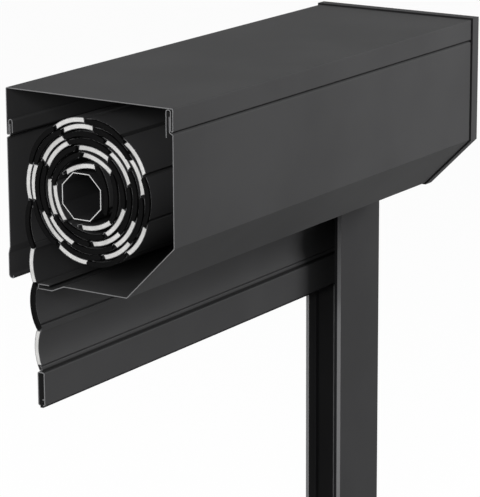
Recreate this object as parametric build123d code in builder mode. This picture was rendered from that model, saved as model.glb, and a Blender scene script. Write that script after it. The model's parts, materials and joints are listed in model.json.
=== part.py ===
"""Exterior roller shutter, cut open at its left end to show how it works.

A roll-formed casing with a 45 degree front bevel, one side cap and one guide rail hold
a curtain of foam-filled slats, wound on an octagonal tube with a tubular motor inside.

Frame: origin on the wall, at mid length and half way up the back wall's bottom strip.
+X runs along the casing to the capped end, +Y into the wall, +Z up. Millimetres.
"""
import os
from math import asin, atan2, cos, degrees, floor, hypot, radians, sin, sqrt

from build123d import *

os.makedirs("parts", exist_ok=True)

# Casing
casing_length = 508.0
casing_height = 165.0
casing_depth = 170.0
bevel_leg = 48.5
sheet = 0.8
bend = 1.2
wall_joggle = 1.6
seam_gap = 0.4
hood_front_flange = 19.5
hood_rear_flange = 40.5
jog_height = 1.8
fold_depth = 3.0
pocket_width = 3.6
fold_rise = 17.6
fold_return = 5.0
fold_bend = 1.75
tongue_rise = 12.4
rear_fold_depth = 2.7
rear_pocket_width = 2.9
rear_fold_rise = 12.8
rear_fold_return = 2.0
rear_fold_bend = 1.4
rear_tongue_rise = 9.4
joggle_top = 27.7
joggle_bottom = 21.4
hem_bend = 3.4
hem_depth = 5.2
hem_height = 2.6
slot_width = 30.8
lip_length = 27.2
lip_ramp = 12.4
lip_drop = 5.2
lip_hem = 11.8

# Shaft and motor
shaft_from_wall = 78.4
shaft_height = 80.6
tube_flats = 40.0
tube_sides = 8
tube_wall = 0.8
tube_fit = 0.15
shaft_fit = 0.05
motor_radius = 17.5
motor_length = 230.0
motor_head_radius = 20.0
motor_head_length = 21.5
running_gap = 0.2
crown_length = 11.0
wheel_length = 12.0
drive_shaft_radius = 5.0
drive_shaft_socket = 8.0
drive_shaft_end = 2.0

# Side cap and motor bracket
cap_rim_width = 11.4
cap_plate = 4.0
cap_wall = 3.0
cap_proud = 1.5
cap_gap = 0.8
cap_flange_length = 14.0
cap_flange_wall = 2.5
cap_fit = 0.35
notch_gap = 0.6
slot_cut_width = 43.0
slot_cut_height = 26.0
bracket_thickness = 3.0
bracket_height = 62.0
bracket_depth = 84.0
bracket_corner = 8.0
boss_radius = 4.5
boss_length = 7.0
boss_inset = 9.0
spigot_side = 10.0
spigot_reach = 8.0
screw_radius = 1.9
screw_fit = 0.1
screw_head_radius = 3.6
screw_head = 2.0
screw_head_sides = 6
screw_length = 9.0
grommet_radius = 6.0
grommet_lip = 1.1
grommet_bore = 3.5
grommet_inset = 30.0
grommet_drop = 16.5
sheet_screw_radius = 1.7
sheet_screw_head_radius = 3.0
sheet_screw_head = 1.2
sheet_screw_length = 3.4
sheet_screw_inset = 7.0
sheet_screw_shares = (0.33, 0.66)

# Slats
slat_step = 37.0
slat_play = 1.6
slat_thickness = 4.15
slat_skin = 0.45
slat_radius = 45.0
slat_end_gap = 1.0
hook_inner_radius = 0.75
hook_wall = 0.5
hook_angles = (90.0, 38.0, -14.0, -66.0)
gutter_depth = 1.5
gutter_wall = 0.45
slit_gap = 0.3
lock_plate = 2.5
lock_gap = 0.3
lock_side_gap = 5.2
lock_tongue = 10.0
lock_tongue_width = 16.0
lock_tongue_thickness = 2.0
lock_fit = 0.15

# Wound curtain, seen along the shaft: a spiral that hangs off centre on the tube
coil_slats = 45
coil_start_angle = -12.6
coil_start_radius = 54.4
coil_pitch = 5.078
coil_tightening = 0.037
coil_sag = 8.04
coil_sag_loss = 0.28
coil_skew = 1.62
packing_radius = 24.85
packing_angle = 43.2
packing_headings = (165.5, 258.3)
hanger_width = 16.0
hanger_thickness = 0.5
hanger_count = 3
hanger_bends = (240.0, 285.0, 330.0, 375.0, 420.0)
hanger_spread_share = 0.32

# Hanging curtain: distance from the wall and how far each hook is lifted in its gutter
hang_distances = (27.0, 27.8, 30.9, 30.9)
hang_lifts = (1.6, 1.6, 0.0, 0.8)

# Bottom bar
bar_thickness = 7.5
bar_height = 30.0
bar_wall = 1.0
bar_corner = 1.6
bar_ledge_height = 5.0
bar_ledge = 1.8
seal_height = 3.2
seal_width = 3.4
seal_exposed = 1.8
bar_cap_thickness = 2.5

# Guide rail
rail_length = 400.0
rail_top_gap = 0.5
rail_depth = 65.1
rail_width = 72.5
rail_wall = 2.0
rail_lip = 4.1
rail_channel_wall_gap = 20.6
rail_channel_depth = 15.6
rail_web_thickness = 1.8
rail_rear_width = 60.0
rail_bulb = 3.3
rail_bulb_width = 2.0
rail_front_web_width = 27.0
rail_end_web_inset = 11.0
rail_chamber_width = 32.0
brush_thickness = 1.2
brush_width = 4.5
brush_inset = 11.5
lip_seal_depth = 3.3
lip_seal_width = 1.6
rail_hole_radius = 2.75
rail_hole_spacing = 200.0
rail_hole_wall_gap = 9.6
foot_thickness = 3.0
inlet_height = 18.0
inlet_flare = 9.0
inlet_straight = 4.6
inlet_wall = 1.8
inlet_width = 14.0
inlet_leg = 24.0
spigot_length = 38.0
spigot_gap = 0.4
spigot_wall = 2.5
overrun = 5.0

# Places worked out from the sizes above
cut_x = -casing_length / 2
cap_x = casing_length / 2
front_y = -(casing_depth + wall_joggle)
floor_z = -joggle_bottom / 2
hood_front_seam = casing_height - hood_front_flange
hood_rear_seam = casing_height - hood_rear_flange
shaft_y = -shaft_from_wall
shaft_z = floor_z + shaft_height
rim_x = cap_x - cap_rim_width
sheet_end_x = rim_x - cap_gap
sheet_length = sheet_end_x - cut_x
cap_inner_x = cap_x - cap_plate
bracket_x = cap_inner_x - boss_length
head_x = bracket_x - bracket_thickness
tube_end_x = head_x - motor_head_length
motor_left_x = tube_end_x - motor_length
end_web_x = cap_x - rail_end_web_inset
slat_x = cut_x + slat_end_gap
slat_end_x = end_web_x - rail_wall - lock_side_gap - lock_plate - lock_gap
slat_length = slat_end_x - slat_x
total_depth = casing_depth + wall_joggle
lip_end = total_depth - slot_width
lip_start = lip_end - lip_length
rail_top_z = floor_z - lip_drop - rail_top_gap
rail_bottom_z = rail_top_z - rail_length


def section(x):
    """Plane across the casing at x, with its origin at the front bottom corner."""
    return Plane(origin=(x, front_y, floor_z), x_dir=(0, 1, 0), z_dir=(1, 0, 0))


def shaft_section(x):
    """Plane across the casing at x, with its origin on the shaft axis."""
    return Plane(origin=(x, shaft_y, shaft_z), x_dir=(0, 1, 0), z_dir=(1, 0, 0))


def write(piece, name):
    piece.part.label = name
    export_step(piece.part, "parts/" + name + ".step")


def patch(x0, x1, y0, y1, mode=Mode.ADD):
    """Rectangle between two corners, in the plane of the open sketch."""
    with Locations(((x0 + x1) / 2, (y0 + y1) / 2)):
        Rectangle(abs(x1 - x0), abs(y1 - y0), mode=mode)


# Top hood: top and two flanges, each folded back up into a pocket that is open below
fold_top = hood_front_seam + fold_rise
pocket_rear = fold_depth + pocket_width
rear_fold_top = hood_rear_seam + rear_fold_rise
rear_pocket_front = casing_depth - rear_fold_depth - rear_pocket_width
fold_corners = 6
with BuildPart() as top_hood:
    with BuildSketch(section(cut_x)):
        with BuildLine():
            FilletPolyline(
                (pocket_rear, hood_front_seam - fold_return),
                (pocket_rear, fold_top),
                (fold_depth, fold_top),
                (fold_depth, hood_front_seam),
                (0, hood_front_seam),
                (0, casing_height),
                (casing_depth, casing_height),
                (casing_depth, hood_rear_seam),
                (casing_depth - rear_fold_depth, hood_rear_seam),
                (casing_depth - rear_fold_depth, rear_fold_top),
                (rear_pocket_front, rear_fold_top),
                (rear_pocket_front, hood_rear_seam + rear_fold_return),
                radius=(fold_bend, fold_bend, *[bend] * fold_corners, rear_fold_bend, rear_fold_bend),
            )
            offset(amount=sheet, side=Side.RIGHT)
        make_face()
    extrude(amount=sheet_length)
write(top_hood, "top_hood")

# Front panel: tongue in the hood's pocket, then front, bevel, bottom and slot lip
panel_tongue = fold_depth + seam_gap
tongue_foot = hood_front_seam - seam_gap
panel_top = tongue_foot - jog_height
with BuildPart() as front_panel:
    with BuildSketch(section(cut_x)):
        with BuildLine():
            FilletPolyline(
                (panel_tongue, hood_front_seam + tongue_rise),
                (panel_tongue, tongue_foot),
                (0, panel_top),
                (0, bevel_leg),
                (bevel_leg, 0),
                (lip_start, 0),
                (lip_start + lip_ramp, -lip_drop),
                (lip_end, -lip_drop),
                (lip_end, -sheet / 2),
                (lip_end - lip_hem, -sheet / 2),
                radius=bend,
            )
            offset(amount=sheet, side=Side.RIGHT)
        make_face()
    extrude(amount=sheet_length)
write(front_panel, "front_panel")

# Back wall: tongue in the hood's rear pocket, joggled out to the wall, rolled in at the bottom
rear_tongue_face = casing_depth - rear_fold_depth - seam_gap
rear_tongue_foot = hood_rear_seam - seam_gap
grommet_x = sheet_end_x - grommet_inset
grommet_height = hood_rear_seam - grommet_drop


def rear_plane(x, height):
    """Plane on the casing's rear face at x and height, looking out to the wall."""
    return Plane(origin=(x, -wall_joggle, floor_z + height), z_dir=(0, 1, 0))


screw_planes = [
    rear_plane(sheet_end_x - sheet_screw_inset, casing_height * share) for share in sheet_screw_shares
]
with BuildPart() as back_wall:
    with BuildSketch(section(cut_x)):
        with BuildLine():
            FilletPolyline(
                (rear_tongue_face, hood_rear_seam + rear_tongue_rise),
                (rear_tongue_face, rear_tongue_foot),
                (casing_depth, rear_tongue_foot - jog_height),
                (casing_depth, joggle_top),
                (total_depth, joggle_bottom),
                (total_depth, 0),
                (total_depth - hem_depth, 0),
                (total_depth - hem_depth, hem_height),
                radius=(bend / 2, bend / 2, bend, bend, hem_bend, bend),
            )
            offset(amount=sheet, side=Side.RIGHT)
        make_face()
    extrude(amount=sheet_length)
    with Locations(rear_plane(grommet_x, grommet_height)):
        Hole(grommet_radius, depth=sheet + overrun)
    with Locations(*screw_planes):
        Hole(sheet_screw_radius, depth=sheet + overrun)
write(back_wall, "back_wall")

# Rubber grommet in the back wall, for the motor cable
with BuildPart() as cable_grommet:
    with BuildSketch(rear_plane(grommet_x, grommet_height).offset(grommet_lip)):
        Circle(grommet_radius - tube_fit)
        Circle(grommet_bore, mode=Mode.SUBTRACT)
    extrude(amount=-sheet - 2 * grommet_lip)
write(cable_grommet, "cable_grommet")


def casing_outline(inset, depth):
    """Closed pentagon of the casing, drawn in from the sheets by inset."""
    slope = inset * (sqrt(2) - 1)
    Polyline(
        (inset, bevel_leg + slope),
        (bevel_leg + slope, inset),
        (depth - inset, inset),
        (depth - inset, casing_height - inset),
        (inset, casing_height - inset),
        close=True,
    )


# Side cap: plate and rim round the sheets' ends, flange inside them, bosses for the bracket
cap_depth = total_depth - cap_proud
flange_inset = sheet + cap_fit
flange_x = sheet_end_x - cap_flange_length
boss_places = [
    (side * (bracket_depth / 2 - boss_inset), rise * (bracket_height / 2 - boss_inset))
    for side in (-1, 1)
    for rise in (-1, 1)
]
with BuildPart() as side_cap:
    with BuildSketch(section(rim_x)):
        with BuildLine():
            casing_outline(-cap_proud, cap_depth)
        make_face()
        with BuildLine():
            casing_outline(cap_wall - cap_proud, cap_depth)
        make_face(mode=Mode.SUBTRACT)
    extrude(amount=cap_rim_width)
    with BuildSketch(section(cap_inner_x)):
        with BuildLine():
            casing_outline(-cap_proud, cap_depth)
        make_face()
    extrude(amount=cap_plate)
    with BuildSketch(section(flange_x)):
        with BuildLine():
            casing_outline(flange_inset, casing_depth)
        make_face()
        with BuildLine():
            casing_outline(flange_inset + cap_flange_wall, casing_depth)
        make_face(mode=Mode.SUBTRACT)
        patch(casing_depth - slot_cut_width, casing_depth, -lip_drop, slot_cut_height, mode=Mode.SUBTRACT)
        patch(
            0,
            pocket_rear + sheet + notch_gap,
            hood_front_seam - fold_return - notch_gap,
            fold_top + sheet + notch_gap,
            mode=Mode.SUBTRACT,
        )
        patch(
            rear_pocket_front - sheet - notch_gap,
            casing_depth,
            rear_tongue_foot - jog_height - notch_gap,
            rear_fold_top + sheet + notch_gap,
            mode=Mode.SUBTRACT,
        )
    extrude(amount=cap_inner_x - flange_x)
    with BuildSketch(shaft_section(bracket_x)):
        with Locations(*boss_places):
            Circle(boss_radius)
            Circle(screw_radius, mode=Mode.SUBTRACT)
    extrude(amount=boss_length)
    with Locations(*screw_planes):
        Hole(sheet_screw_radius, depth=sheet_screw_length + sheet)
write(side_cap, "side_cap")

# Motor bracket, screwed to the cap's bosses
with BuildPart() as motor_bracket:
    with BuildSketch(shaft_section(head_x)):
        RectangleRounded(bracket_depth, bracket_height, bracket_corner)
        Rectangle(spigot_side + 2 * running_gap, spigot_side + 2 * running_gap, mode=Mode.SUBTRACT)
        with Locations(*boss_places):
            Circle(screw_radius + running_gap, mode=Mode.SUBTRACT)
    extrude(amount=bracket_thickness)
write(motor_bracket, "motor_bracket")

with BuildPart() as bracket_screws:
    with BuildSketch(shaft_section(head_x)):
        with Locations(*boss_places):
            Circle(screw_radius - screw_fit)
    extrude(amount=screw_length)
    with BuildSketch(shaft_section(head_x)):
        with Locations(*boss_places):
            RegularPolygon(screw_head_radius, screw_head_sides)
    extrude(amount=-screw_head)
write(bracket_screws, "bracket_screws")

# Tubular motor: head against the bracket, body inside the tube
with BuildPart() as motor_head:
    with BuildSketch(shaft_section(tube_end_x)):
        Circle(motor_head_radius)
    extrude(amount=motor_head_length)
    with BuildSketch(shaft_section(head_x)):
        Rectangle(spigot_side, spigot_side)
    extrude(amount=spigot_reach)
write(motor_head, "motor_head")

with BuildPart() as motor_body:
    with BuildSketch(shaft_section(motor_left_x)):
        Circle(motor_radius)
    extrude(amount=motor_length)
    with BuildSketch(shaft_section(motor_left_x)):
        Circle(drive_shaft_radius + running_gap)
    extrude(amount=drive_shaft_socket, mode=Mode.SUBTRACT)
write(motor_body, "motor_body")


def octagon(flats, mode=Mode.ADD):
    RegularPolygon(flats / 2, tube_sides, major_radius=False, rotation=180 / tube_sides, mode=mode)


# Octagonal tube, with the crown ring and the drive wheel that carry it on the motor
with BuildPart() as octagonal_tube:
    with BuildSketch(shaft_section(cut_x)):
        octagon(tube_flats)
        octagon(tube_flats - 2 * tube_wall, mode=Mode.SUBTRACT)
    extrude(amount=tube_end_x - running_gap - cut_x)
write(octagonal_tube, "octagonal_tube")

insert_flats = tube_flats - 2 * tube_wall - 2 * tube_fit
with BuildPart() as crown_ring:
    with BuildSketch(shaft_section(tube_end_x - running_gap - crown_length)):
        octagon(insert_flats)
        Circle(motor_radius + running_gap, mode=Mode.SUBTRACT)
    extrude(amount=crown_length)
write(crown_ring, "crown_ring")

wheel_x = motor_left_x - running_gap - wheel_length
with BuildPart() as drive_wheel:
    with BuildSketch(shaft_section(wheel_x)):
        octagon(insert_flats)
        Circle(drive_shaft_radius + shaft_fit, mode=Mode.SUBTRACT)
    extrude(amount=wheel_length)
write(drive_wheel, "drive_wheel")

with BuildPart() as drive_shaft:
    with BuildSketch(shaft_section(wheel_x - drive_shaft_end)):
        Circle(drive_shaft_radius)
    extrude(amount=drive_shaft_end + wheel_length + drive_shaft_socket)
write(drive_shaft, "drive_shaft")

# Slat section: x runs from the gutter at the lower end to the hook at the upper end,
# and the rounded side, which faces the wall, is at negative y.
half_step = slat_step / 2
arc_centre = sqrt(slat_radius**2 - half_step**2)
outer_radius = slat_radius + slat_thickness / 2
inner_radius = slat_radius - slat_thickness / 2
hook_radius = hook_inner_radius + hook_wall / 2
hook_outer_radius = hook_inner_radius + hook_wall
hook_bends = [(hook_radius * cos(radians(a)), hook_radius * sin(radians(a))) for a in hook_angles]
gutter_end = -half_step - gutter_depth - gutter_wall
body_start = -half_step + slat_play + hook_outer_radius + running_gap
body_end = half_step - gutter_depth - gutter_wall - slat_play - slit_gap


def band(outer, inner, start, end):
    """Curved strip of the slat between two stations along its chord."""
    with Locations((0, arc_centre)):
        Circle(outer)
        Circle(inner, mode=Mode.SUBTRACT)
    patch(start, end, -slat_radius, arc_centre / 2, mode=Mode.INTERSECT)


with BuildSketch() as body_band:
    band(outer_radius, inner_radius, body_start, body_end)

with BuildSketch() as foam_face:
    band(outer_radius - slat_skin, inner_radius + slat_skin, body_start + slat_skin, body_end - slat_skin)

with BuildSketch() as gutter_band:
    band(outer_radius, outer_radius - slat_skin, gutter_end, body_start)

with BuildSketch() as skin_face:
    add(body_band.sketch)
    add(foam_face.sketch, mode=Mode.SUBTRACT)
    add(gutter_band.sketch)
    floor_start = arc_centre - sqrt(outer_radius**2 - gutter_end**2)
    patch(gutter_end, gutter_end + gutter_wall, floor_start + slat_skin / 2, gutter_wall / 2)
    patch(gutter_end, -half_step, -gutter_wall / 2, gutter_wall / 2)
    with BuildLine():
        foot = body_end - hook_wall / 2
        foot_height = arc_centre - sqrt(inner_radius**2 - foot**2) - slat_skin / 2
        Polyline((foot, foot_height), (foot, hook_radius), *[(half_step + u, v) for u, v in hook_bends])
        offset(amount=hook_wall / 2, side=Side.BOTH, kind=Kind.INTERSECTION)
    make_face()

with BuildSketch() as lock_face:
    add(body_band.sketch)
    for reach, end, nose in (
        (body_start, -half_step, -slat_thickness / 2),
        (body_end, half_step, slat_thickness / 2),
    ):
        middle = arc_centre - sqrt(slat_radius**2 - reach**2)
        with BuildLine():
            Polyline(
                (reach, middle - slat_thickness / 2),
                (end, -slat_thickness / 2),
                (end + nose, -slat_thickness / 4),
                (end + nose, slat_thickness / 4),
                (end, slat_thickness / 2),
                (reach, middle + slat_thickness / 2),
                close=True,
            )
        make_face()

tongue_sag = slat_radius - sqrt(slat_radius**2 - (lock_tongue_width / 2) ** 2)
with BuildSketch() as tongue_face:
    with Locations((0, arc_centre - slat_radius + tongue_sag / 2)):
        Rectangle(lock_tongue_width, lock_tongue_thickness)


def slat_plane(x, slat):
    """Plane of a slat's section, from its hook centre and its heading."""
    (hook_y, hook_z), heading = slat["hook"], slat["heading"]
    along = Vector(0, cos(heading), sin(heading))
    origin = Vector(x, shaft_y + hook_y, shaft_z + hook_z) - along * half_step
    return Plane(origin=origin, x_dir=along, z_dir=(1, 0, 0))


def slat_from(low, high, dark, hook=None):
    """A slat whose gutter is at low and whose hook points to high."""
    heading = atan2(high[1] - low[1], high[0] - low[0])
    return {"hook": high if hook is None else hook, "heading": heading, "dark": dark}


def spiral(turned):
    """Point of the wound curtain's middle line, turned degrees in from its start."""
    turns = turned / 360
    sag = coil_sag - coil_sag_loss * turns
    radius = coil_start_radius - coil_pitch * turns - coil_tightening * turns**2
    radius += sag * (1 - cos(radians(turned))) + coil_skew * sin(radians(turned))
    angle = radians(coil_start_angle + turned)
    return radius * cos(angle), radius * sin(angle)


def next_turn(turned):
    """Angle where the spiral is one slat step further on, found by halving."""
    here = spiral(turned)
    low, high = turned, turned + 120
    for _ in range(50):
        middle = (low + high) / 2
        there = spiral(middle)
        if hypot(there[0] - here[0], there[1] - here[1]) < slat_step:
            low = middle
        else:
            high = middle
    return low


# Slats of the coil, grouped by turn from the outside in
coil = {}
turned = 0.0
for number in range(coil_slats):
    following = next_turn(turned)
    slat = slat_from(spiral(turned), spiral(following), dark=number % 2 == 1)
    coil.setdefault(floor((turned + following) / 720) + 1, []).append(slat)
    turned = following
coil_turns = max(coil)
coil_last = slat
last_hook = spiral(turned)

# A white and a dark slat lie between the tube and the first turn
low = (packing_radius * cos(radians(packing_angle)), packing_radius * sin(radians(packing_angle)))
for number, heading in enumerate(packing_headings):
    high = (low[0] + slat_step * cos(radians(heading)), low[1] + slat_step * sin(radians(heading)))
    coil.setdefault(coil_turns + 1, []).append(slat_from(low, high, dark=number % 2 == 1))
    low = high


def add_slats(name, slats):
    """Skins, foam cores and end locks of a group of slats, one node each."""
    with BuildPart() as skins:
        for slat in slats:
            with BuildSketch(slat_plane(slat_x, slat)):
                add(skin_face.sketch)
        extrude(amount=slat_length)
    write(skins, name + "_skins" if len(slats) > 1 else name + "_skin")
    with BuildPart() as foam:
        for slat in slats:
            inset = lock_tongue + lock_fit if slat["dark"] else 0
            with BuildSketch(slat_plane(slat_x + inset, slat)):
                add(foam_face.sketch)
            extrude(amount=slat_length - 2 * inset)
    write(foam, name + "_foam")
    if not any(slat["dark"] for slat in slats):
        return
    with BuildPart() as locks:
        for slat in slats:
            if slat["dark"]:
                with BuildSketch(slat_plane(slat_x - lock_gap, slat)):
                    add(lock_face.sketch)
                extrude(amount=-lock_plate)
                with BuildSketch(slat_plane(slat_x - lock_gap, slat)):
                    add(tongue_face.sketch)
                extrude(amount=lock_gap + lock_tongue)
                with BuildSketch(slat_plane(slat_end_x + lock_gap, slat)):
                    add(lock_face.sketch)
                extrude(amount=lock_plate)
                with BuildSketch(slat_plane(slat_end_x + lock_gap, slat)):
                    add(tongue_face.sketch)
                extrude(amount=-lock_gap - lock_tongue)
    write(locks, name + "_end_locks")


for turn, slats in coil.items():
    add_slats(f"turn_{turn}", slats)

# Hanger springs: strips from the tube's flat, curled round and into the last slat's hook
hanger_span = slat_length * hanger_spread_share
last_heading = degrees(coil_last["heading"])
with BuildPart() as hanger_springs:
    facet = tube_flats / 2 + hanger_thickness / 2
    curl = hook_outer_radius + running_gap + hanger_thickness / 2
    for place in range(hanger_count):
        x = hanger_span * (place - (hanger_count - 1) / 2) - hanger_width / 2
        with BuildSketch(shaft_section(x)):
            with BuildLine():
                curled = [
                    (
                        last_hook[0] + curl * cos(radians(last_heading + turn)),
                        last_hook[1] + curl * sin(radians(last_heading + turn)),
                    )
                    for turn in hanger_bends
                ]
                Polyline(last_hook, *curled, (facet, -facet / 2), (facet, 0))
                offset(amount=hanger_thickness / 2, side=Side.BOTH, kind=Kind.INTERSECTION)
            make_face()
        extrude(amount=hanger_width)
write(hanger_springs, "hanger_springs")

# Hanging slats: each hook is in the gutter above it, lifted within its play
gutter = spiral(0)
hanging_hook = gutter
hanging_slats = []
for number, (distance, lift) in enumerate(zip(hang_distances, hang_lifts)):
    reach = slat_step - lift
    lean = asin((shaft_from_wall - distance - hanging_hook[0]) / reach)
    low = (hanging_hook[0] + reach * sin(lean), hanging_hook[1] - reach * cos(lean))
    foot = (hanging_hook[0] + slat_step * sin(lean), hanging_hook[1] - slat_step * cos(lean))
    hanging_slats.append(slat_from(foot, hanging_hook, dark=number % 2 == 0))
    hanging_hook = low
for number, slat in enumerate(hanging_slats, start=1):
    add_slats(f"slat_{number}", [slat])

# Bottom bar: hollow flat section, hooked into the last slat's gutter
bar_plane = Plane(
    origin=(slat_x, shaft_y + hanging_hook[0], shaft_z + hanging_hook[1]),
    x_dir=(0, -1, 0),
    z_dir=(-1, 0, 0),
)
bar_top = -(gutter_depth + gutter_wall + slat_play + slit_gap)
bar_bottom = bar_top - bar_height
with BuildPart() as bottom_bar:
    with BuildSketch(bar_plane):
        with Locations((0, (bar_top + bar_bottom) / 2)):
            RectangleRounded(bar_thickness, bar_height, bar_corner)
            RectangleRounded(
                bar_thickness - 2 * bar_wall, bar_height - 2 * bar_wall, bar_wall / 2, mode=Mode.SUBTRACT
            )
        ledge_z = bar_bottom + bar_ledge_height
        patch(bar_thickness / 2 - bar_wall - bar_ledge, bar_thickness / 2 - bar_wall, ledge_z, ledge_z + bar_wall)
        with BuildLine():
            Polyline((hook_radius, bar_top - bar_wall / 2), *[(v, u) for u, v in hook_bends])
            offset(amount=hook_wall / 2, side=Side.BOTH, kind=Kind.INTERSECTION)
        make_face()
        seal_top = bar_bottom + seal_height - seal_exposed
        patch(-seal_width / 2, seal_width / 2, bar_bottom - overrun, seal_top, mode=Mode.SUBTRACT)
    extrude(amount=-slat_length)
write(bottom_bar, "bottom_bar")

with BuildPart() as bar_seal:
    with BuildSketch(bar_plane):
        patch(
            -seal_width / 2 + lock_fit,
            seal_width / 2 - lock_fit,
            bar_bottom - seal_exposed,
            seal_top - lock_fit,
        )
    extrude(amount=-slat_length)
write(bar_seal, "bar_seal")

with BuildPart() as bar_end_cap:
    with BuildSketch(bar_plane.offset(-slat_length)):
        with Locations((0, (bar_top + bar_bottom) / 2)):
            RectangleRounded(bar_thickness, bar_height, bar_corner)
    extrude(amount=-bar_cap_thickness)
write(bar_end_cap, "bar_end_cap")

# Guide rail: front plate, outer side, guide channel and wall chamber, one extrusion
rail_left_x = cap_x - rail_width
rail_front_y = -rail_depth
channel_rear_y = -rail_channel_wall_gap
channel_front_y = channel_rear_y - rail_channel_depth
rear_left_x = cap_x - rail_rear_width
chamber_x = cap_x - rail_chamber_width
with BuildPart() as guide_rail:
    with BuildSketch(Plane.XY.offset(rail_bottom_z)):
        patch(rail_left_x, cap_x, rail_front_y, rail_front_y + rail_wall)
        patch(cap_x - rail_wall, cap_x, rail_front_y, 0)
        patch(rail_left_x, rail_left_x + rail_wall, rail_front_y, rail_front_y + rail_lip)
        patch(cap_x - rail_front_web_width, cap_x, channel_front_y - rail_web_thickness, channel_front_y)
        patch(rear_left_x, cap_x, channel_rear_y, channel_rear_y + rail_web_thickness)
        patch(rear_left_x, rear_left_x + rail_bulb_width, channel_rear_y, channel_rear_y + rail_bulb)
        patch(end_web_x - rail_wall, end_web_x, channel_front_y - rail_web_thickness, channel_rear_y)
        patch(chamber_x, cap_x, -rail_wall, 0)
        patch(chamber_x, chamber_x + rail_wall, channel_rear_y, 0)
    extrude(amount=rail_length)
    hole_z = rail_top_z - rail_length / 2
    with Locations(Plane(origin=(cap_x, -rail_hole_wall_gap, hole_z), x_dir=(0, 1, 0), z_dir=(1, 0, 0))):
        with GridLocations(rail_hole_spacing, rail_hole_spacing, 1, 2):
            Hole(rail_hole_radius, depth=rail_wall + overrun / 2)
write(guide_rail, "guide_rail")

# Brush strips in the channel and a rubber strip on the front lip
with BuildPart() as rail_seals:
    with BuildSketch(Plane.XY.offset(rail_bottom_z)):
        brush_x = rear_left_x + brush_inset
        patch(brush_x, brush_x + brush_width, channel_rear_y - brush_thickness, channel_rear_y)
        front_brush_x = cap_x - rail_front_web_width
        patch(front_brush_x, front_brush_x + brush_width, channel_front_y, channel_front_y + brush_thickness)
        lip_y = rail_front_y + rail_lip
        patch(rail_left_x, rail_left_x + lip_seal_width, lip_y, lip_y + lip_seal_depth)
    extrude(amount=rail_length)
write(rail_seals, "rail_seals")

with BuildPart() as rail_foot:
    with BuildSketch(Plane.XY.offset(rail_bottom_z)):
        with BuildLine():
            Polyline(
                (rail_left_x, rail_front_y),
                (cap_x, rail_front_y),
                (cap_x, 0),
                (chamber_x, 0),
                (chamber_x, channel_rear_y + rail_bulb),
                (rear_left_x, channel_rear_y + rail_bulb),
                (rail_left_x, rail_front_y + rail_lip + lip_seal_depth),
                close=True,
            )
        make_face()
    extrude(amount=-foot_thickness)
write(rail_foot, "rail_foot")

# Flared inlet that leads the slats into the channel
inlet_x = end_web_x - rail_wall - inlet_width
with BuildPart() as rail_inlet:
    with BuildSketch(Plane(origin=(inlet_x, channel_rear_y, rail_top_z), x_dir=(0, 1, 0), z_dir=(1, 0, 0))):
        with BuildLine():
            Polyline(
                (0, 0),
                (0, inlet_straight),
                (inlet_flare, inlet_height),
                (inlet_flare + inlet_wall, inlet_height),
                (rail_web_thickness + running_gap + inlet_wall, inlet_straight),
                (rail_web_thickness + running_gap + inlet_wall, -inlet_leg),
                (rail_web_thickness + running_gap, -inlet_leg),
                (rail_web_thickness + running_gap, 0),
                close=True,
            )
        make_face()
    extrude(amount=inlet_width)
write(rail_inlet, "rail_inlet")

# Spigot below the cap that holds the rail's chamber
spigot_top_z = floor_z - cap_proud
spigot_x0 = chamber_x + rail_wall + spigot_gap
spigot_x1 = cap_x - rail_wall - spigot_gap
spigot_y0 = channel_rear_y + rail_web_thickness + running_gap + inlet_wall + spigot_gap
spigot_y1 = -rail_wall - spigot_gap
with BuildPart() as rail_spigot:
    with BuildSketch(Plane.XY.offset(spigot_top_z)):
        patch(spigot_x0, spigot_x1, spigot_y0, spigot_y1)
        with Locations(((spigot_x0 + spigot_x1) / 2, (spigot_y0 + spigot_y1) / 2)):
            Rectangle(
                spigot_x1 - spigot_x0 - 2 * spigot_wall,
                spigot_y1 - spigot_y0 - 2 * spigot_wall,
                mode=Mode.SUBTRACT,
            )
    extrude(amount=-spigot_length)
write(rail_spigot, "rail_spigot")

# Screws that hold the back wall to the cap's flange
with BuildPart() as casing_screws:
    for spot in screw_planes:
        with BuildSketch(spot):
            Circle(sheet_screw_radius)
        extrude(amount=-sheet_screw_length)
        with BuildSketch(spot):
            RegularPolygon(sheet_screw_head_radius, screw_head_sides)
        extrude(amount=sheet_screw_head)
write(casing_screws, "casing_screws")
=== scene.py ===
"""Looks of the cut-open roller shutter: coatings, foam, plastic and galvanised steel."""
import json
from math import pi, radians

import bpy
from mathutils import Euler, Matrix, Vector


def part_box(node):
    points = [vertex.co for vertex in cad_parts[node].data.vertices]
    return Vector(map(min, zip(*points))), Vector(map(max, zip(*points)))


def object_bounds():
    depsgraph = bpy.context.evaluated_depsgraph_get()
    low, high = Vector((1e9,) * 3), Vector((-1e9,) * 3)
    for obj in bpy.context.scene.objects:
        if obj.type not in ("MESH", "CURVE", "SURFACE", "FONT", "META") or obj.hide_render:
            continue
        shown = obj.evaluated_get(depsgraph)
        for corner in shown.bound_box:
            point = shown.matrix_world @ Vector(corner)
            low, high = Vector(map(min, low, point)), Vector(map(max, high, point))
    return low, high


# Camera of the photograph, in the row frame
CAMERA_PLACE = (-1.984, -1.3794, 0.5852)
CAMERA_AZIMUTH = radians(-56.52)
CAMERA_ELEVATION = radians(14.53)
CAMERA_ROLL = radians(-0.278)
FOCAL_PIXELS = 2687.72
IMAGE_SIZE = (480, 497)
SENSOR_MM = 36.0
CAMERA_CLIP = (0.05, 20.0)

# Studio, in metres
FLOOR_DROP = 0.012
FLOOR_SIZE = 14.0
FLOOR_GREY = (0.06, 0.06, 0.06)
FLOOR_WHITE = (0.98, 0.98, 0.98)
FLOOR_GLOW_SHARE = 0.96
FLOOR_ROUGHNESS = 0.9
BACKGROUND = (1.0, 1.0, 1.0)
WORLD_LIGHT = 0.20

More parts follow.
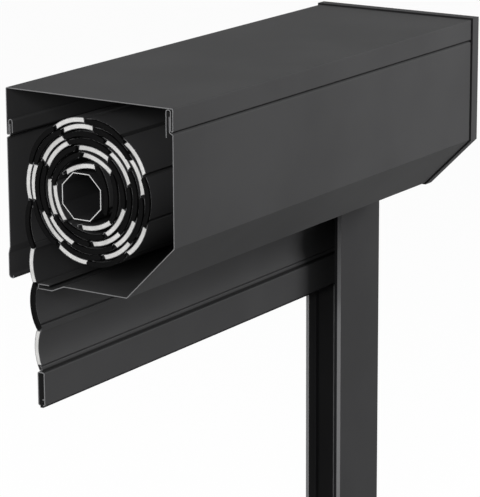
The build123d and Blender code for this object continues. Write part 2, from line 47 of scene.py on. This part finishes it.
# Lamps: name, place and size in metres, power in watts
LAMPS = (
    ("key", (1.00, -1.30, 0.50), 0.9, 26.0),
    ("back", (-0.5, 1.8, 0.45), 1.2, 22.0),
    ("fill", (-2.2, -0.90, 0.85), 0.9, 33.5),
)

# Colours
CASING_GREY = (0.052, 0.052, 0.053)
RAIL_GREY = (0.038, 0.038, 0.039)
SLAT_GREY = (0.043, 0.043, 0.044)
PAINTED_SEAM_SHADE = (0.004, 0.004, 0.004)
CUT_METAL_AND_PAINTED_LIGHT = (0.26, 0.26, 0.265)
FOAM_WHITE = (0.88, 0.875, 0.86)
BLACK = (0.002, 0.002, 0.0021)
GREY_PLASTIC = (0.06, 0.06, 0.062)
RUBBER = (0.014, 0.014, 0.015)
GALVANISED = (0.42, 0.43, 0.44)
TUBE_STEEL = (0.018, 0.018, 0.019)
TUBE_CUT = (0.7, 0.7, 0.7)
MOTOR_GREY = (0.22, 0.22, 0.23)

# Powder and roll coat. Here and below, a noise is its scale per metre and its detail, and a bump
# its strength and its height in metres
COAT_ROUGHNESS = 0.58
SLAT_ROUGHNESS = 0.50
COAT_SPECULAR = 0.035
SLAT_SPECULAR = 0.05
COAT_GRAIN = (2600.0, 2.0)
COAT_GRAIN_ROUGHNESS = 0.10
COAT_BUMP = (0.10, 0.0002)
COAT_CLOUD = (9.0, 3.0)
COAT_CLOUD_RANGE = (0.3, 0.7)
COAT_CLOUD_LIGHTER = 1.16

# Metal at the saw cut, and painted light: the normal's X below which a face looks along -X, and
# the places on X, in metres, before which such a face shows uncoated metal; on the rail, beyond
# the saw cut, this lighter metal is painted light that stands in for light from the left
CUT_FACING = -0.9
CUT_BEFORE = -0.24
RAIL_PAINTED_LIGHT_BEFORE = 0.245
CUT_METALLIC = 0.3
SAW_MARKS = (700.0, 1.0)
SAW_DARKER = 0.8

# Painted shade in the joints: the coat goes dark where shade falls deep in a joint. Places in
# metres and their widths, how dark the painted shade gets, and the share of the width at full
# strength
CAP_SEAM, CAP_SHADE_WIDTH = 0.2420, 0.0010
FRONT_SEAM, REAR_SEAM, HOOD_SHADE_WIDTH = 0.1343, 0.1133, 0.0009
SLAT_SHADE_WIDTH = 0.0016
SEAM_SHADE_STRENGTH = 0.9
SEAM_SHADE_CORE = 0.4

# Plastic and rubber
PLASTIC_ROUGHNESS = 0.5
RUBBER_ROUGHNESS = 0.7
PLASTIC_SPECULAR = 0.04
PLASTIC_GRAIN = (1800.0, 2.0)
RUBBER_GRAIN = (1200.0, 2.0)
PLASTIC_GRAIN_ROUGHNESS = 0.15
PLASTIC_BUMP = (0.2, 0.0002)
PLASTIC_CLOUD = (60.0, 2.0)
PLASTIC_LIGHTER, PLASTIC_LIFT = 1.5, 0.001

# Foam
FOAM_ROUGHNESS = 0.82
FOAM_PORES, PORE_ROUGHNESS = (1500.0, 3.0), 0.6
FOAM_BUMP = (0.35, 0.0003)
FOAM_PATCHES = (160.0, 2.0)
FOAM_PATCH_RANGE = (0.35, 0.75)
FOAM_DARKER = 0.86

# Rolled and drawn steel
STEEL_ROUGHNESS, STEEL_METALLIC = 0.36, 0.9
TUBE_ROUGHNESS, TUBE_METALLIC = 0.5, 0.2
STEEL_LINES = (900.0, 3.0)
STEEL_LINE_STRETCH = 0.03
STEEL_LINE_ROUGHNESS = 0.2
STEEL_LINE_DARKER = 0.72
STEEL_BUMP = (0.15, 0.0002)

# Sockets of the mix node in its colour mode
MIX_SHARE, MIX_FIRST, MIX_SECOND, MIX_COLOUR = 0, 6, 7, 2


class Value:
    """A shader socket that takes part in Python expressions."""

    def __init__(self, tree, socket):
        self.tree = tree
        self.socket = socket

    def maths(self, operation, *inputs):
        return self.tree.node("ShaderNodeMath", {"operation": operation}, inputs)

    def __add__(self, other):
        return self.maths("ADD", self, other)

    def __radd__(self, other):
        return self.maths("ADD", other, self)

    def __sub__(self, other):
        return self.maths("SUBTRACT", self, other)

    def __rsub__(self, other):
        return self.maths("SUBTRACT", other, self)

    def __mul__(self, other):
        return self.maths("MULTIPLY", self, other)

    def __abs__(self):
        return self.maths("ABSOLUTE", self)

    def below(self, limit):
        """1 below the limit, else 0."""
        return self.maths("LESS_THAN", self, limit)

    def over(self, low, high):
        """0 below low, 1 above high, smooth between."""
        settings = {"interpolation_type": "SMOOTHSTEP"}
        inputs = {"Value": self, "From Min": low, "From Max": high}
        return self.tree.node("ShaderNodeMapRange", settings, inputs)


class Tree:
    """Shader nodes of a material or of the sky."""

    def __init__(self, owner, end):
        owner.use_nodes = True
        self.nodes = owner.node_tree.nodes
        self.links = owner.node_tree.links
        self.end = self.nodes[end].inputs["Surface"]

    def node(self, kind, settings=None, inputs=None, output=0):
        """Adds a node; inputs are values, colours or other Values, by name or in order."""
        made = self.nodes.new(kind)
        for key, setting in (settings or {}).items():
            setattr(made, key, setting)
        pairs = inputs.items() if isinstance(inputs, dict) else enumerate(inputs or ())
        for key, given in pairs:
            self.join(given, made.inputs[key])
        return Value(self, made.outputs[output])

    def join(self, given, socket):
        if isinstance(given, Value):
            self.links.new(given.socket, socket)
        elif isinstance(given, tuple) and socket.type == "RGBA":
            socket.default_value = (*given, 1.0)
        else:
            socket.default_value = given


class Finish(Tree):
    """A material built from expressions, with one shader."""

    def __init__(self, name):
        self.material = bpy.data.materials.new(name)
        super().__init__(self.material, "Material Output")
        self.shader = self.nodes["Principled BSDF"]

    def set(self, **sockets):
        """Sets the shader's sockets; an underscore in a name stands for a space."""
        for name, given in sockets.items():
            self.join(given, self.shader.inputs[name.replace("_", " ")])

    def place(self):
        """Position on the piece, in metres."""
        return self.node("ShaderNodeTexCoord", output="Object")

    def axis(self, vector, name):
        """One coordinate of a vector."""
        return self.node("ShaderNodeSeparateXYZ", None, (vector,), output=name)

    def noise(self, vector, scale, detail, roughness=0.5):
        inputs = {"Vector": vector, "Scale": scale, "Detail": detail, "Roughness": roughness}
        return self.node("ShaderNodeTexNoise", None, inputs)

    def mix(self, share, first, second):
        """Colour between first and second."""
        inputs = {MIX_SHARE: share, MIX_FIRST: first, MIX_SECOND: second}
        return self.node("ShaderNodeMix", {"data_type": "RGBA"}, inputs, output=MIX_COLOUR)

    def bump(self, height, strength, distance):
        inputs = {"Height": height, "Strength": strength, "Distance": distance}
        return self.node("ShaderNodeBump", None, inputs)


def scaled(colour, factor, lift=0.0):
    """The colour, lighter or darker."""
    return tuple(channel * factor + lift for channel in colour)


def stretched(finish, place, along):
    """Place squeezed along X, so that marks run lengthwise."""
    inputs = {"Vector": place, "Scale": (along, 1.0, 1.0)}
    return finish.node("ShaderNodeMapping", {"vector_type": "POINT"}, inputs)


def cut_share(finish, before=CUT_BEFORE):
    """1 on faces that look along -X and lie before a place on X, such as the saw cut."""
    normal = finish.node("ShaderNodeNewGeometry", output="Normal")
    facing = finish.axis(normal, "X").below(CUT_FACING)
    return facing * finish.axis(finish.place(), "X").below(before)


def seam_shade_share(finish, axis, middle, width):
    """Painted shade share: 1 in the middle of a joint that crosses an axis there, fading to 0 at
    its width.
    """
    away = finish.axis(finish.place(), axis) - middle
    return 1.0 - abs(away).over(width * SEAM_SHADE_CORE, width)


def powder_coat(
    name, grey, seam_shades=(), before=CUT_BEFORE, roughness=COAT_ROUGHNESS, specular=COAT_SPECULAR
):
    """Fine-grained coat with painted shade in its joints, uncoated metal at the saw cut, and
    painted light: the same lighter metal on the rail's other faces that look along -X.
    """
    finish = Finish(name)
    place = finish.place()
    grain = finish.noise(place, *COAT_GRAIN)
    cloud = finish.noise(place, *COAT_CLOUD)
    coat = finish.mix(cloud.over(*COAT_CLOUD_RANGE), grey, scaled(grey, COAT_CLOUD_LIGHTER))
    # Painted shade: dark bands along the joints, where shade falls
    for axis, middle, width in seam_shades:
        seam_shade = seam_shade_share(finish, axis, middle, width)
        coat = finish.mix(seam_shade * SEAM_SHADE_STRENGTH, coat, PAINTED_SEAM_SHADE)
    # Uncoated metal at the saw cut; further along, as on the rail, the same lighter metal is
    # painted light from the left
    cut_and_painted_light = cut_share(finish, before)
    metal = finish.mix(finish.noise(place, *SAW_MARKS), CUT_METAL_AND_PAINTED_LIGHT, scaled(CUT_METAL_AND_PAINTED_LIGHT, SAW_DARKER))
    finish.set(
        Base_Color=finish.mix(cut_and_painted_light, coat, metal),
        Roughness=roughness + grain * COAT_GRAIN_ROUGHNESS,
        Metallic=cut_and_painted_light * CUT_METALLIC,
        Specular_IOR_Level=specular,
        Normal=finish.bump(grain, *COAT_BUMP),
    )
    return finish.material


def slat_coat(name, seam_shades=()):
    """Roll coat of slats and bottom bar, a little glossier than the casing's."""
    return powder_coat(name, SLAT_GREY, seam_shades, roughness=SLAT_ROUGHNESS, specular=SLAT_SPECULAR)


def moulded(name, colour, roughness=PLASTIC_ROUGHNESS, grain_noise=PLASTIC_GRAIN):
    """Moulded plastic or rubber with a fine texture."""
    finish = Finish(name)
    place = finish.place()
    grain = finish.noise(place, *grain_noise)
    cloud = finish.noise(place, *PLASTIC_CLOUD)
    lighter = scaled(colour, PLASTIC_LIGHTER, PLASTIC_LIFT)
    finish.set(
        Base_Color=finish.mix(cloud, colour, lighter),
        Roughness=roughness + grain * PLASTIC_GRAIN_ROUGHNESS,
        Specular_IOR_Level=PLASTIC_SPECULAR,
        Normal=finish.bump(grain, *PLASTIC_BUMP),
    )
    return finish.material


def foam():
    """Cut foam: off-white with fine pores."""
    finish = Finish("slat_foam")
    place = finish.place()
    pores = finish.noise(place, *FOAM_PORES, PORE_ROUGHNESS)
    patches = finish.noise(place, *FOAM_PATCHES)
    darker = scaled(FOAM_WHITE, FOAM_DARKER)
    finish.set(
        Base_Color=finish.mix(patches.over(*FOAM_PATCH_RANGE), FOAM_WHITE, darker),
        Roughness=FOAM_ROUGHNESS,
        Normal=finish.bump(pores, *FOAM_BUMP),
    )
    return finish.material


def rolled_steel(name, colour, roughness=STEEL_ROUGHNESS, metallic=STEEL_METALLIC, cut=CUT_METAL_AND_PAINTED_LIGHT):
    """Rolled or drawn metal with faint lengthwise lines and an uncoated saw cut."""
    finish = Finish(name)
    place = stretched(finish, finish.place(), STEEL_LINE_STRETCH)
    lines = finish.noise(place, *STEEL_LINES)
    drawn = finish.mix(lines, colour, scaled(colour, STEEL_LINE_DARKER))
    finish.set(
        Base_Color=finish.mix(cut_share(finish), drawn, cut),
        Roughness=roughness + lines * STEEL_LINE_ROUGHNESS,
        Metallic=metallic,
        Normal=finish.bump(lines, *STEEL_BUMP),
    )
    return finish.material


def dress(frame):
    """Gives every node its own finish, or else that of its slot."""
    # Bands of painted shade along the joints of the casing
    cap_seam_shade = ("X", CAP_SEAM, CAP_SHADE_WIDTH)
    front_seam_shade = ("Z", FRONT_SEAM, HOOD_SHADE_WIDTH)
    rear_seam_shade = ("Z", REAR_SEAM, HOOD_SHADE_WIDTH)
    # Painted shade in the groove between the last slat and the bottom bar
    bar_seam_shade = ("Z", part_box("slat_4_skin")[0][2], SLAT_SHADE_WIDTH)
    finishes = {
        "casing_coat": powder_coat("casing_powder_coat", CASING_GREY, [cap_seam_shade]),
        # The rail's faces that look along -X get the lighter metal all along: painted light from
        # the left
        "rail_coat": powder_coat("rail_powder_coat", RAIL_GREY, before=RAIL_PAINTED_LIGHT_BEFORE),
        "slat_coat": slat_coat("slat_roll_coat"),
        "foam": foam(),
        "black_plastic": moulded("black_plastic", BLACK),
        "grey_plastic": moulded("grey_plastic", GREY_PLASTIC),
        "rubber": moulded("black_rubber", RUBBER, RUBBER_ROUGHNESS, RUBBER_GRAIN),
        "galvanised": rolled_steel("galvanised_steel", GALVANISED),
        "motor_steel": rolled_steel("motor_steel", MOTOR_GREY),
    }
    bar_coat = slat_coat("bar_powder_coat", [bar_seam_shade])
    own_finishes = {
        "octagonal_tube": rolled_steel(
            "tube_steel", TUBE_STEEL, TUBE_ROUGHNESS, TUBE_METALLIC, TUBE_CUT
        ),
        "front_panel": powder_coat("panel_powder_coat", CASING_GREY, [cap_seam_shade, front_seam_shade]),
        "back_wall": powder_coat("wall_powder_coat", CASING_GREY, [cap_seam_shade, rear_seam_shade]),
        "slat_4_skin": bar_coat,
        "bottom_bar": bar_coat,
    }
    for part in frame["record"]["subparts"]:
        name = part["node"]
        node = frame["nodes"][name]
        node.data.materials.clear()
        node.data.materials.append(own_finishes.get(name, finishes[part["material_slot"]]))


def whiten(tree, lit, share=1.0):
    """White for the camera, in reflections and through glass; lit for every other ray."""
    seen = 0.0
    for name in ("Camera", "Glossy", "Transmission"):
        seen = seen + tree.node("ShaderNodeLightPath", output=f"Is {name} Ray")
    glow = tree.node("ShaderNodeEmission", None, {"Color": BACKGROUND, "Strength": 1.0})
    mixed = tree.node("ShaderNodeMixShader", None, (seen * share, lit, glow))
    tree.join(mixed, tree.end)


def sky():
    """Even light from all round, white where the camera sees it."""
    world = bpy.data.worlds.new("studio")
    tree = Tree(world, "World Output")
    inputs = {"Color": BACKGROUND, "Strength": WORLD_LIGHT}
    whiten(tree, tree.node("ShaderNodeBackground", None, inputs))
    return world


def floor(height):
    """White floor that runs on into the backdrop."""
    mesh = bpy.data.meshes.new("floor")
    half = FLOOR_SIZE / 2
    sides = ((-half, -half), (half, -half), (half, half), (-half, half))
    mesh.from_pydata([(x, y, height) for x, y in sides], [], [(0, 1, 2, 3)])
    laid = bpy.data.objects.new("floor", mesh)
    bpy.context.scene.collection.objects.link(laid)
    finish = Finish("studio_floor")
    seen = finish.node("ShaderNodeLightPath", output="Is Camera Ray")
    finish.set(Base_Color=finish.mix(seen, FLOOR_GREY, FLOOR_WHITE), Roughness=FLOOR_ROUGHNESS)
    whiten(finish, Value(finish, finish.shader.outputs["BSDF"]), FLOOR_GLOW_SHARE)
    mesh.materials.append(finish.material)


def studio(low):
    """Floor, three soft lamps that look at the origin, and an even sky."""
    floor(low - FLOOR_DROP)
    bpy.context.scene.world = sky()
    for name, place, size, power in LAMPS:
        lamp = bpy.data.lights.new(name, "AREA")
        lamp.size = size
        lamp.energy = power
        hung = bpy.data.objects.new(name, lamp)
        hung.location = place
        hung.rotation_euler = (-Vector(place)).to_track_quat("-Z", "Y").to_euler()
        bpy.context.scene.collection.objects.link(hung)


def camera():
    """The camera that took the photograph."""
    lens = bpy.data.cameras.new("photo_camera")
    lens.sensor_width = SENSOR_MM
    lens.lens = FOCAL_PIXELS * SENSOR_MM / max(IMAGE_SIZE)
    lens.clip_start, lens.clip_end = CAMERA_CLIP
    held = bpy.data.objects.new("photo_camera", lens)
    turn = Euler((pi / 2 - CAMERA_ELEVATION, 0.0, CAMERA_AZIMUTH)).to_matrix()
    roll = Matrix.Rotation(CAMERA_ROLL, 3, "Z")
    held.matrix_world = Matrix.Translation(CAMERA_PLACE) @ (turn @ roll).to_4x4()
    bpy.context.scene.collection.objects.link(held)
    bpy.context.scene.camera = held


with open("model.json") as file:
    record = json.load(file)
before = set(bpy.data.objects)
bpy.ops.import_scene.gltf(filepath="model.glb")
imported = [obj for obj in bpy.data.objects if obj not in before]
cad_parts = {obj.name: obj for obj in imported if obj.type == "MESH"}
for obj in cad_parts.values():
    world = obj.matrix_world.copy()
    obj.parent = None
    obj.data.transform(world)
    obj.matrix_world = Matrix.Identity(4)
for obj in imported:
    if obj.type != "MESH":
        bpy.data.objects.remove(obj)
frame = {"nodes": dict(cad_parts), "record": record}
cad_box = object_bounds()
bpy.context.scene.view_settings.view_transform = "Standard"
dress(frame)
studio(cad_box[0][2])
camera()
